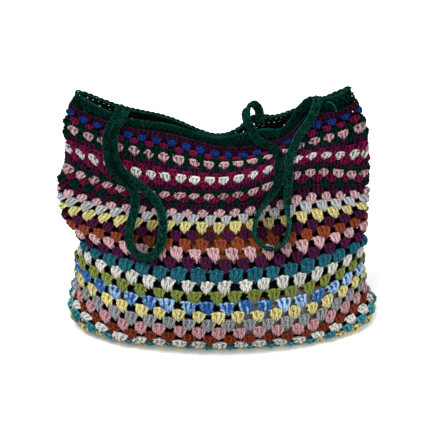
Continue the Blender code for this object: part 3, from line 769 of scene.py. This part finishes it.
# Its strands: how far they sink in, radii, and how uneven places and tints are
BASE_SINK = 0.4
BASE_YARN = 1.3
BASE_HEAD = 1.2
BASE_SPREADS = (0.3, 0.05)
BASE_CLUSTER = dict(OPEN_CLUSTER, half_top=0.42, half_foot=0.26, radius=BASE_YARN, lift=1.4)
BASE_YARNS = ("turquoise", "dark_green", "magenta", "cream", "rust_orange", "dusty_pink")


def base_round(number, yarn):
    """One oval round of the base, its clusters' tops towards the outside."""

    def oval(part, inset):
        half_x, half_y = (half - inset for half in BASE_HALF)
        x, y = (
            np.sign(wave) * np.abs(wave) ** (2 / BASE_FULLNESS)
            for wave in (np.cos(part), np.sin(part))
        )
        return BASE_MIDDLE + half_x * x, half_y * y

    inset = number * BASE_STEP
    fine = np.linspace(0, 2 * pi, 721)
    x, y = oval(fine, inset)
    length = np.concatenate([[0], np.cumsum(np.hypot(np.diff(x), np.diff(y)))])
    count = max(int(round(length[-1] / BASE_PITCH)), BASE_FEWEST)
    strands = Strands()
    middles = (np.arange(count) + 0.5 * (number % 2)) / count * length[-1]
    for shapes, thick in ((posts(BASE_CLUSTER), BASE_YARN), (heads(BASE_CLUSTER), BASE_HEAD)):
        for shape in shapes:
            shift = vary(BASE_SPREADS[0], count, 1)
            along = middles[:, None] + shape[None, :, 0] * BASE_PITCH + shift
            part = np.interp(np.mod(along, length[-1]), length, fine)
            x, y = oval(part, inset + (shape[None, :, 1] + 0.5) * BASE_STEP)
            lift = np.broadcast_to(shape[None, :, 2], x.shape)
            z = np.maximum(WALL - lift - BASE_SINK, BASE_YARN)
            tints = vary(BASE_SPREADS[1], count)
            strands.add(np.stack([x, y, z], -1), thick, tints, (0, 0, -1))
    return strands.build(f"base_round_{number + 1}", MATERIALS[yarn])


base = [base_round(number, yarn) for number, yarn in enumerate(BASE_YARNS)]
for piece in base:
    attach(piece, "root")

# Rim band: rows of single crochet and an edge of chain loops. The front is
# tighter, so that nothing shows through
RIM_STITCHES = 106
RIM_ROWS = 3
RIM_YARN = 1.12
RIM_FRONT = (10.2, 29.6, 160)
# Each row's tint, darker towards the foot of the band: painted shade
RIM_ROW_SHADE = (-0.88, -0.68, -0.45)
# A stitch's legs: start and spread in pitches, and bulge; each face's side and lift
RIM_LEG = (0.06, 0.26, 0.8)
RIM_FACES = ((-1, 1.6), (1, 3.8))
# The strands across its top: lift and step down in rows of each; their half
# width in pitches, and their bow in rows and in mm
RIM_BARS = ((4.0, 0.0), (2.7, 0.12), (1.4, 0.0))
RIM_BAR = (0.62, 0.10, 0.45)
# The strands that close the front: levels, lift, radius and tint, near black as painted
# shade in the gaps between the stitches
RIM_LEVELS = (-1.75, 0.6, 6)
RIM_CLOSING = (2.6, 1.55, -0.85)
# The chain loops: half width, place and bow upwards, middle, half width and bow
# to the side, slope, and tint with its spread
RIM_LOOP = (0.72, 0.05, 0.22, 2.75, 0.5, 1.6, 0.5)
LOOP_TINT = (-0.1, 0.2)


def rim_band():
    """The rim's rows, the strands that close its front, and its chain loops."""
    strands = Strands(flank=TIGHT_FLANK)
    pitch = CLUSTERS / RIM_STITCHES
    row = (JOIN - RIM_TOP) / RIM_ROWS
    count = RIM_STITCHES
    for number in range(RIM_ROWS):
        level = JOIN - row * (number + 0.5)
        centres = (np.arange(count)[:, None] + 0.5 * (number % 2)) * pitch
        own = RNG.normal(RIM_ROW_SHADE[number], 0.1, count)
        t = np.linspace(0, 1, 4)
        first, spread, bulge = RIM_LEG
        for side in (-1, 1):
            for face, lift in RIM_FACES:
                u = centres + side * pitch * (first + spread * t) + vary(0.012, count, 1)
                v = level + row * (0.5 - t) + vary(0.03, count, 1)
                w = lift + bulge * np.sin(pi * t) * face + vary(0.15, count, 1)
                on_wall(strands, u, v, w, RIM_YARN, own + vary(0.05, count))
        s = np.linspace(-1, 1, 5)
        half, bow, out_bow = RIM_BAR
        for lift, step in RIM_BARS:
            v = level + row * (step - 0.5 + bow * np.cos(pi * s)) + vary(0.03, count, 1)
            w = lift + out_bow * np.cos(pi * s) + vary(0.12, count, 1)
            on_wall(strands, centres + s * pitch * half, v, w, RIM_YARN * 0.9, own - 0.1)
    front = np.linspace(*RIM_FRONT)
    lift, radius, tint = RIM_CLOSING
    for level in np.linspace(*RIM_LEVELS):
        on_wall(strands, front[None], level, lift, radius, [tint])
    centres = np.arange(count)[:, None] * pitch
    own = RNG.normal(*LOOP_TINT, count)
    s = np.linspace(-1, 1, 7)
    half, above, up_bow, middle, beside, bow, slope = RIM_LOOP
    arch = np.cos(pi * s / 2)
    for side in (-1, 1):
        v = RIM_TOP - above - up_bow * arch + vary(0.02, count, 1)
        w = middle + side * (beside + bow * arch) + slope * s
        lines = place(*np.broadcast_arrays(centres + s * pitch * half, v, w))
        strands.add(lines, RIM_YARN, own, (0, -0.4, 0.9))
    return strands.build("rim_stitches", MATERIALS["dark_green"])


rim = rim_band()
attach(rim, "root")
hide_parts("rim_band")

# Straps: routes near those of the solids. A knot is a position, a level and a
# lift, with a rise in mm and the way the strap faces there, if any: a direction,
# or degrees from the wall's own
UP = (0, -0.25, 1)
SKEW = (-0.2, -1, 0.4)
ARCH = (0, 0.5, 0.87)
LEFT_ROUTE = (
    (6.7, -2, 4, 0.4, UP),
    (7, -2, 0, 0.6, UP),
    (13.05, -2, 1, 1.2, UP),
    (12.95, -2, 6.5, 1.6, (0, -1, 1)),
    (12.84, -1, 9.9), (12.76, 0.85, 9.9), (12.78, 3.8, 9.9), (12.76, 6.6, 9.9),
    (12.72, 8.35, 9.9), (12.92, 9.5, 9.9), (13.34, 10.35, 9.9), (13.9, 11.15, 9.9),
    (14.45, 12.5, 9.9), (14.95, 15.1, 9.9), (15.13, 17.5, 9.9), (15.37, 19.4, 9.9),
    (15.4, 20.8, 9.9), (15.5, 21.8, 9.9), (15.8, 22.5, 9.9), (16.27, 22.7, 9.9),
    (16.7, 22.35, 9.9), (17.05, 21.55, 9.9), (17.3, 20.4, 9.9), (17.25, 18.9, 9.9),
    (16.9, 17.1, 9.9), (16.4, 14.8, 10.5), (15.6, 12.3, 13), (14.9, 10.6, 15.8),
    (14.22, 9.7, 16.6), (13.7, 8.85, 16.6), (13.38, 7.8, 16), (13.28, 6.35, 14.5),
    (13.26, 4.3, 13), (13.2, 2.35, 13), (13.14, 0.4, 13), (13.2, -1.3, 13),
    (13.35, -2, 8, 4.6, (0, -1, 1)),
    (13.4, -2, 1, 5.4, UP),
    (6.5, -2, 0, 0.6, UP),
)
RIGHT_ROUTE = (
    (36.45, -2, -1.5, -8, SKEW),
    (36.5, -2, -1.5, 2.4, SKEW),
    (36.6, -2, -1.5, 12, SKEW),
    (36.85, -2, -2, 18.6, (-0.15, -0.9, 0.5)),
    (37.15, -2, -3, 24.6, ARCH),
    (22.62, -2, -4, 31.5, (-0.3, 0.2, 0.9)),
    (22.46, -2, -3, 26, SKEW),
    (22.5, -2, -1.5, 19.5, SKEW),
    (22.66, -2, 0.5, 12.5, SKEW),
    (22.95, -2, 2.5, 4.5, SKEW),
    (23.05, -2, 8.2, 3, (-0.2, -1, 0.5)),
    (23.2, -0.9, 9.9, 0, (-0.2, -1, 0.3)),
    (23.7, 0.6, 9.9), (24.12, 3.4, 9.9), (24.25, 6.6, 9.9), (24.29, 9.6, 9.9),
    (24.25, 11.6, 11, 0, 30), (23.98, 13.4, 12.5, 0, 60), (23.47, 15.2, 13.4, 0, 85),
    (22.9, 17.1, 13.4, 0, 90), (22.6, 18.8, 13.4, 0, 90), (22.52, 20.1, 13.4, 0, 90),
    (22.72, 21.2, 13.4, 0, 90), (23.2, 21.8, 13.4, 0, 90), (23.75, 21.5, 13.4, 0, 90),
    (24.2, 20.6, 13.4, 0, 90), (24.55, 19.2, 13.4, 0, 90), (24.7, 17.9, 12.5, 0, 65),
    (24.8, 16.1, 11, 0, 30),
    (24.87, 13.9, 9.9), (24.93, 11, 9.9), (25, 8.2, 10.6), (25.2, 4.6, 9.9),
    (25.75, 2.2, 9.9), (26.55, 1, 9.9), (27.2, -0.4, 9.9),
    (27.5, -1.5, 9.9, 0.6, (0, -1, 0.6)),
    (27.75, -2, 4, 4.4, (0, -0.4, 1)),
)
TAIL_ROUTE = (
    (28.3, -1.75, 6.75), (28.59, -1.5, 6.75), (28.7, -0.75, 6.75), (28.64, 0.25, 6.75),
)
# Width, length of a stitch, and radii of the yarn inside and at the edges, in mm
STRAP_WIDTH = 11.0
STRAP_STITCH = 4.2
STRAP_YARN = 0.9
STRAP_EDGE = 1.15
# The yarn end: sides, stations, radius in mm and tint, lighter as a painted highlight
# on its lit top
TAIL = (8, 24, 1.0, 0.7)
ROUTE_STATIONS = 2000
# The strands of a V: length in stitches, shift by side and for the second one,
# start, reach and what the second has less, and the same outwards
V_LENGTH = 0.95
V_SHIFT = (0.12, 0.45)
V_ACROSS = (0.2, 3.5, 0.5)
V_OUT = (0.5, 1.3, 0.3)
V_POWER = 0.8
# The Vs' tint and its spread by stitch and by strand: darker, painted shade on the strap's face
# between its lit edges
V_SHADE_TINTS = (-0.3, 0.2, 0.25)
# The edge's loops: length and overlap in stitches, and bow across and outwards.
# The cores inside: step, places across, radius and tint
EDGE = (1.3, 0.15, 0.7, 0.9)
# The edge loops' tint and its spread: lighter, a painted highlight on the strap's lit edges
EDGE_HIGHLIGHT_TINTS = (0.3, 0.2)
CORE_STEP = 2.5
CORES = (-2.6, 0.0, 2.6)
# The cores' tint is near black: painted shade in the hollows between the stitches
CORE_YARN = (1.4, -0.85)


class Route:
    """A strap's centre line with its frame, by length in mm."""

    def __init__(self, route):
        route = [(*knot, 0, 0)[:5] for knot in route]
        knots = np.array([place(*knot[:3]) + (0, 0, knot[3]) for knot in route])
        facings = []
        tangents = unit(np.gradient(knots, axis=0))
        for tangent, (position, level, _, _, facing) in zip(tangents, route):
            if not isinstance(facing, tuple):
                wall = unit(sample(NORMALS, np.array(position), np.array(max(level, RIM_TOP))))
                side, turn = unit(np.cross(tangent, wall)), radians(facing)
                facing = wall * cos(turn) + side * sin(turn)
            facings.append(facing)
        facings = unit(np.array(facings, float))
        steps = np.concatenate(
            [[0], np.cumsum(np.sqrt(np.linalg.norm(np.diff(knots, axis=0), axis=1)))]
        )
        fine = np.linspace(0, steps[-1], ROUTE_STATIONS)
        self.curve = np.stack(
            [cubic(fine, steps, axis, np.gradient(axis, steps)) for axis in knots.T], -1
        )
        step = np.linalg.norm(np.diff(self.curve, axis=0), axis=1)
        self.lengths = np.concatenate([[0], np.cumsum(step)])
        self.length = self.lengths[-1]
        facing = np.stack([np.interp(fine, steps, facings[:, i]) for i in range(3)], -1)
        tangent = unit(np.gradient(self.curve, axis=0))
        self.normal = unit(facing - tangent * np.sum(facing * tangent, -1, keepdims=True))
        self.across = np.cross(tangent, self.normal)

    def pick(self, table, along):
        """Values of one of the line's tables, for lengths along it."""
        return np.stack([np.interp(along, self.lengths, table[:, i]) for i in range(3)], -1)

    def at(self, along, across, out):
        """Points beside the line: along it, across the strap and out of its face."""
        along, across, out = np.broadcast_arrays(along, across, out)
        return (
            self.pick(self.curve, along)
            + self.pick(self.across, along) * across[..., None]
            + self.pick(self.normal, along) * out[..., None]
        )


def strap(name, route, shading, overlap_shades=()):
    """A flat band of slip stitches: rows of small Vs, and a looped edge."""
    path = Route(route)
    strands = Strands(flank=TIGHT_FLANK)
    count = int(path.length / STRAP_STITCH)
    starts = np.arange(count)[:, None] * STRAP_STITCH
    t = np.linspace(0, 1, 5)

    def lay(along, across, out, radius, tints, facing):
        along = np.clip(along, 0, path.length)
        lines = path.at(along, across, out)
        share = along / path.length
        light = np.interp(share, *zip(*shading))
        for start, end, side, depth in overlap_shades:
            inside = (share > start) & (share < end) & (across * side > OVERLAP_SHADE_REACH)
            light = light * np.where(inside, 1 - depth, 1)
        way = path.pick(path.across, along) * facing[0]
        way = way + path.pick(path.normal, along) * facing[1]
        strands.add(lines, radius, tints, unit(way), light)

    first, reach, less = V_ACROSS
    out_first, bulge, flatter = V_OUT
    for face in (-1, 1):
        own = RNG.normal(*V_SHADE_TINTS[:2], count)
        for side in (-1, 1):
            for twin in (0, 1):
                shift = V_SHIFT[0] * side + V_SHIFT[1] * twin + vary(0.15, count, 1)
                along = starts + (t * V_LENGTH + shift) * STRAP_STITCH
                arch = np.sin(pi * t) ** V_POWER
                out = face * (out_first + (bulge - flatter * twin) * arch)
                out = out + vary(0.35, count, 1)
                across = side * (first + (reach - less * twin) * t) + vary(0.4, count, 1)
                tints = own + vary(V_SHADE_TINTS[2], count)
                lay(along, across, out, STRAP_YARN, tints, (0, face))
    length, overlap, bow, out_bow = EDGE
    for edge in (-1, 1):
        along = starts + (t * length - overlap) * STRAP_STITCH
        middle = STRAP_WIDTH / 2 - STRAP_EDGE - bow
        across = edge * (middle + bow * np.sin(pi * t))
        out = out_bow * np.cos(pi * t) + vary(0.15, count, 1)
        for face in (1, -1):
            tints = RNG.normal(*EDGE_HIGHLIGHT_TINTS, count)
            lay(along, across, face * out, STRAP_EDGE, tints, (edge, 0.9 * face))
    along = np.arange(0, path.length, CORE_STEP)[None]
    radius, tint = CORE_YARN
    for offset in CORES:
        lay(along, offset, 0 * along, radius, [tint], (0, 1))
    return strands.build(name, MATERIALS["dark_green"])


# How much light reaches the straps, by share of their length
LEFT_SHADING = (
    (0.0, 1.4), (0.06, 1.4), (0.1, 1.05), (0.25, 1.0), (0.32, 1.55), (0.5, 1.2),
    (0.65, 1.6), (0.75, 1.1), (0.82, 0.75), (0.93, 1.0), (1.0, 1.4),
)
RIGHT_SHADING = (
    (0.0, 0.6), (0.06, 0.9), (0.1, 1.6), (0.14, 1.3), (0.2, 0.72), (0.35, 0.8),
    (0.44, 1.4), (0.55, 1.2), (0.66, 1.9), (0.78, 1.1), (0.9, 1.5), (1.0, 1.7),
)
# Painted shade where one length of the left strap lies on the other: start and end by
# length, side, and how much darker it is there, this far from its middle in mm
OVERLAP_SHADE_REACH = 1.6
LEFT_OVERLAP_SHADES = ((0.06, 0.26, -1, 0.7), (0.77, 0.91, -1, 0.8))
strap_left = strap("strap_left_stitches", LEFT_ROUTE, LEFT_SHADING, LEFT_OVERLAP_SHADES)
strap_right = strap("strap_right_stitches", RIGHT_ROUTE, RIGHT_SHADING)
path = Route(TAIL_ROUTE)
sides, stations, radius, tint = TAIL
strands = Strands(sides)
along = np.linspace(0, path.length, stations)
strands.add(path.at(along, 0, 0)[None], radius, [tint])
tail = strands.build("yarn_end", MATERIALS["dark_green"])
for piece, cad_node in (
    (strap_left, "strap_left"), (strap_right, "strap_right"), (tail, "yarn_tail")
):
    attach(piece, "root")
    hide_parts(cad_node)

# Lining: a near-black cloth, painted shade: the bag's dark inside seen through the
# wall's gaps, with a few fields of brown and grey. Its top level, how far it lies inside
# the wall and its ends, an end's reach, the cloth's thickness, the foot's middle, and
# the net's step in clusters
LINING_TOP = 2.5
LINING_INSET = 4.8
END_INSET = 6.5
END_REACH = 0.9
LINING_CLOTH = 1.2
FOOT_MIDDLE = 8
LINING_STEP = 0.5
# Slack folds: depth in mm, turn by position and by level
SLACK = ((0.8, 2.1, 0.5), (0.6, 0.9, -0.8))
# Position, level, half sizes of each, and which colour
FIELDS = (
    (21.3, 20.7, 3.0, 2.0, 0), (14.6, 27.0, 0.8, 0.8, 0), (24.2, 28.8, 3.6, 2.8, 1),
    (33.0, 24.0, 2.5, 3.0, 0), (4.0, 28.0, 2.5, 3.0, 1), (0.5, 17.0, 3.0, 2.0, 0),
)
# The fields' own values, an uneven edge, and the colour from each value on; the first,
# near black, is painted shade
FIELD_VALUES = (0.6, 1.0)
FIELD_EDGE = (0.25, 3.3, 1.7)
FIELD_COLOURS = (
    (0.0, (0.004, 0.004, 0.005, 1)), (0.4, (0.34, 0.13, 0.02, 1)),
    (0.8, (0.42, 0.42, 0.43, 1)),
)
CLOTH_SURFACE = {"Roughness": 0.9, "Specular IOR Level": 0.1}
WEAVE_SCALE = 900
CLOTH_BUMP = (0.3, 0.0002)


def lining_material():
    """Woven cloth, near black as painted shade, whose colour follows the brown and grey fields.
    """
    material, tree, shader = new_material("lining_cloth", CLOTH_SURFACE)
    where = node(tree, "ShaderNodeTexCoord").outputs["Object"]
    threads = []
    inputs = {"Scale": WEAVE_SCALE, "Vector": where}
    for way in "XZ":
        weave = node(tree, "ShaderNodeTexWave", inputs, wave_type="BANDS", bands_direction=way)
        threads.append(weave.outputs["Fac"])
    add_bump(tree, shader, math_node(tree, "ADD", *threads), *CLOTH_BUMP)
    ramp = node(tree, "ShaderNodeValToRGB", {"Fac": attribute(tree, "field")})
    ramp.color_ramp.interpolation = "CONSTANT"
    elements = ramp.color_ramp.elements
    elements.new(FIELD_COLOURS[-1][0])
    for element, (position, colour) in zip(elements, FIELD_COLOURS):
        element.position = position
        element.color = colour
    tree.links.new(ramp.outputs["Color"], shader.inputs["Base Color"])
    return material


def lining():
    """The pouch: an outer and an inner skin, a hem and a flat foot."""
    keys = np.arange(0, CLUSTERS, LINING_STEP)
    levels = np.arange(LINING_TOP, UNDERSIDE + 1e-6, LINING_STEP)
    p, q = np.meshgrid(keys, levels)
    ends = np.array([section(level)[-2:] for level in levels])
    end = np.minimum(np.abs(p - ends[:, :1]), np.abs(p - ends[:, 1:]))
    near_end = np.exp(-((end / END_REACH) ** 2))
    sunk = LINING_INSET + (END_INSET - LINING_INSET) * near_end
    slack = sum(depth * np.sin(p * by_p + q * by_q) for depth, by_p, by_q in SLACK)
    sunk = sunk + np.maximum(slack, 0)
    outer = place(p, q, -sunk)
    inner = place(p, q, -sunk - LINING_CLOTH)
    rows, columns = p.shape
    points = np.concatenate([outer.reshape(-1, 3), inner.reshape(-1, 3)])
    index = np.arange(rows * columns).reshape(rows, columns)
    beside = np.roll(index, -1, axis=1)
    skin = np.stack([index[:-1], index[1:], beside[1:], beside[:-1]], -1).reshape(-1, 4)
    behind = rows * columns
    other = skin[:, ::-1] + behind
    hem = np.stack([index[0], beside[0], beside[0] + behind, index[0] + behind], -1)
    faces = [tuple(face) for face in np.concatenate([skin, other, hem]).tolist()]
    hub = len(points)
    foot = WALL + LINING_INSET
    middle = [[FOOT_MIDDLE, 0, foot], [FOOT_MIDDLE, 0, foot + LINING_CLOTH]]
    points = np.concatenate([points, middle])
    for one, two in zip(index[-1].tolist(), beside[-1].tolist()):
        faces.append((one, hub, two))
        faces.append((two + behind, hub + 1, one + behind))
    field = np.zeros(p.shape)
    for position, level, half, rounds, colour in FIELDS:
        gap = np.minimum(np.abs(p - position), CLUSTERS - np.abs(p - position))
        reach = (gap / half) ** 2 + ((q - level) / rounds) ** 2
        depth, by_p, by_q = FIELD_EDGE
        reach = reach + depth * np.sin(p * by_p + q * by_q)
        field = np.where(reach < 1, FIELD_VALUES[colour], field)
    mesh = bpy.data.meshes.new("lining_cloth")
    mesh.from_pydata((points * MM).tolist(), [], faces)
    mesh.polygons.foreach_set("use_smooth", np.ones(len(faces), bool))
    values = mesh.attributes.new("field", "FLOAT", "POINT")
    flat = np.concatenate([field.ravel(), field.ravel(), [0, 0]])
    values.data.foreach_set("value", flat.astype(np.float32))
    mesh.materials.append(lining_material())
    mesh.update()
    return add_object("lining_cloth", mesh)


cloth = lining()
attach(cloth, "root")
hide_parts("lining")

# Stage
FLOOR_SIZE = 24.0
STAGE_SURFACE = {"Roughness": 1.0, "Specular IOR Level": 0.0}
STAGE_GREY = (0.78, 0.82)
STAGE_SCALE = 300
STAGE_TO_CAMERA = 0.9


def stage_material():
    """Pale, and whiter to the camera, so that it clips to white where lit."""
    material, tree, shader = new_material("stage", STAGE_SURFACE)
    rays = node(tree, "ShaderNodeLightPath").outputs["Is Camera Ray"]
    grey = map_range(tree, noise(tree, STAGE_SCALE), (0, 1), STAGE_GREY)
    seen = math_node(tree, "MULTIPLY_ADD", rays, STAGE_TO_CAMERA, grey)
    joined = node(tree, "ShaderNodeCombineColor", enumerate([seen] * 3))
    tree.links.new(joined.outputs[0], shader.inputs["Base Color"])
    return material


floor_mesh = bpy.data.meshes.new("floor")
half = FLOOR_SIZE / 2
corners = [(-half, -half, 0), (half, -half, 0), (half, half, 0), (-half, half, 0)]
floor_mesh.from_pydata(corners, [], [(0, 1, 2, 3)])
floor_mesh.materials.append(stage_material())
floor = add_object("floor", floor_mesh)
floor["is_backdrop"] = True

# Light from all round, full to the camera and less to the bag
AMBIENT = 0.55
world = bpy.data.worlds.new("studio")
bpy.context.scene.world = world
world.use_nodes = True
tree = world.node_tree
background = tree.nodes["Background"]
rays = node(tree, "ShaderNodeLightPath").outputs["Is Camera Ray"]
strength = math_node(tree, "MULTIPLY_ADD", rays, 1.0 - AMBIENT, AMBIENT)
tree.links.new(strength, background.inputs["Strength"])
background.inputs["Color"].default_value = (1, 1, 1, 1)

# Lamps: place, size and power
LAMP_AIM = (0, 0, 0.12)
LAMPS = (
    ("key", (-0.5, -0.7, 1.7), 0.9, 18),
    ("fill", (1.1, -1.3, 0.9), 1.2, 5.5),
)
for name, position, size, power in LAMPS:
    light = bpy.data.lights.new(name, "AREA")
    light.shape = "DISK"
    light.size = size
    light.energy = power
    lamp = add_object(name, light)
    lamp.location = position
    direction = Vector(LAMP_AIM) - Vector(position)
    lamp.rotation_euler = direction.to_track_quat("-Z", "Y").to_euler()

# Camera: the photograph's view
ELEVATION = 30.0
DISTANCE = 1.5
TARGET = (0.0, 0.0, 0.145)
FOCAL_PIXELS = 1200.0
FRAME_PIXELS = 430.0
SENSOR_WIDTH = 36.0
camera_data = bpy.data.cameras.new("camera")
camera_data.sensor_width = SENSOR_WIDTH
camera_data.lens = SENSOR_WIDTH * FOCAL_PIXELS / FRAME_PIXELS
camera = add_object("camera", camera_data)
tip = radians(ELEVATION)
camera.location = (
    TARGET[0],
    TARGET[1] - DISTANCE * cos(tip),
    TARGET[2] + DISTANCE * sin(tip),
)
camera.rotation_euler = (pi / 2 - tip, 0, 0)
bpy.context.scene.camera = camera
bpy.context.scene.view_settings.view_transform = "Standard"

total = sum(len(o.data.polygons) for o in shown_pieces() if o.type == "MESH")
print("faces", total)
